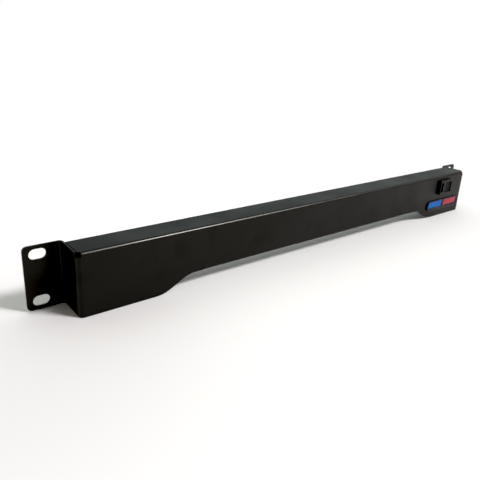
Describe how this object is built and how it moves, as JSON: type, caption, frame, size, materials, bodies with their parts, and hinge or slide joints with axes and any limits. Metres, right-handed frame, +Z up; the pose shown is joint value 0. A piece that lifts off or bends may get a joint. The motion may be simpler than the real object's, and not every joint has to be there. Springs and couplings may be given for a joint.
{
  "type": "rack power strip",
  "caption": "Slim black rack power strip: folded steel housing with set-back slotted ears, a front rocker switch and badge, and rear appliance outlets with a fused inlet.",
  "frame": {"origin": "on the ground under the middle of the housing, halfway between the front face and the rear faces of the rack ears, at the height of the lowest edge", "axes": "+X to the right seen from the front, +Y from the front into the rack, +Z up"},
  "size_m": [0.4826, 0.035, 0.0437],
  "materials": {
    "front_panel": "satin black powder coat on folded steel sheet",
    "rear_cover": "satin black powder coat",
    "insulation_card": "pale insulating card",
    "badge": "glossy domed badge",
    "brass": "stamped brass",
    "inlet_plastic": "moulded black thermoplastic",
    "nickel": "nickel plated",
    "drawer_plastic": "moulded black thermoplastic",
    "fuse_glass": "clear glass tube",
    "switch_plastic": "moulded black nylon",
    "rocker_plastic": "smooth black plastic",
    "plunger_plastic": "natural acetal",
    "spring_steel": "bright spring wire",
    "contact_copper": "copper alloy contact strip",
    "live_insulation": "brown wire insulation",
    "neutral_insulation": "blue wire insulation",
    "earth_insulation": "green and yellow wire insulation",
    "zinc_steel": "zinc plated",
    "tinned_copper": "tin plated copper",
    "outlet_plastic": "moulded black thermoplastic"
  },
  "bodies": {
    "housing": {"front_panel": "front_panel", "rear_cover": "rear_cover", "insulation_sheet": "insulation_card", "badge": "badge", "live_bus_bar": "brass", "neutral_bus_bar": "brass", "earth_bus_bar": "brass", "inlet_housing": "inlet_plastic", "inlet_live_pin": "nickel", "inlet_neutral_pin": "nickel", "inlet_earth_pin": "nickel", "switch_housing": "switch_plastic", "switch_common_terminal": "brass", "switch_load_terminal": "brass", "live_supply_wire": "live_insulation", "live_switched_wire": "live_insulation", "neutral_wire": "neutral_insulation", "earth_inlet_wire": "earth_insulation", "earth_bond_wire": "earth_insulation", "earth_stud": "zinc_steel", "earth_washer": "zinc_steel", "earth_nut": "zinc_steel", "earth_tag": "tinned_copper", "outlet_1": "outlet_plastic", "outlet_2": "outlet_plastic", "outlet_3": "outlet_plastic", "outlet_4": "outlet_plastic", "outlet_5": "outlet_plastic", "outlet_6": "outlet_plastic", "outlet_7": "outlet_plastic", "outlet_8": "outlet_plastic", "cover_screw_1": "zinc_steel", "cover_screw_2": "zinc_steel", "cover_screw_3": "zinc_steel", "cover_screw_4": "zinc_steel"},
    "rocker": {"switch_rocker": "rocker_plastic", "switch_plunger": "plunger_plastic", "switch_spring": "spring_steel"},
    "contact_lever": {"switch_lever": "contact_copper"},
    "fuse_drawer": {"fuse_drawer": "drawer_plastic", "fuse_tube": "fuse_glass", "fuse_cap_upper": "nickel", "fuse_cap_lower": "nickel"}
  },
  "joints": [
    {"name": "rocker_tilt", "type": "hinge", "parent": "housing", "child": "rocker", "pos_m": [0.181, -0.01286, 0.0313], "axis": [0, 0, -1], "range_deg": [0, 14]},
    {"name": "lever_tilt", "type": "hinge", "parent": "housing", "child": "contact_lever", "pos_m": [0.181, -0.00326, 0.0313], "axis": [0, 0, 1], "range_deg": [0, 11.2]},
    {"name": "drawer_slide", "type": "slide", "parent": "housing", "child": "fuse_drawer", "axis": [0, 1, 0], "range_m": [0, 0.014]}
  ],
  "couplings": [
    {"joint": "lever_tilt", "follows": "rocker_tilt", "ratio": 0.8}
  ]
}
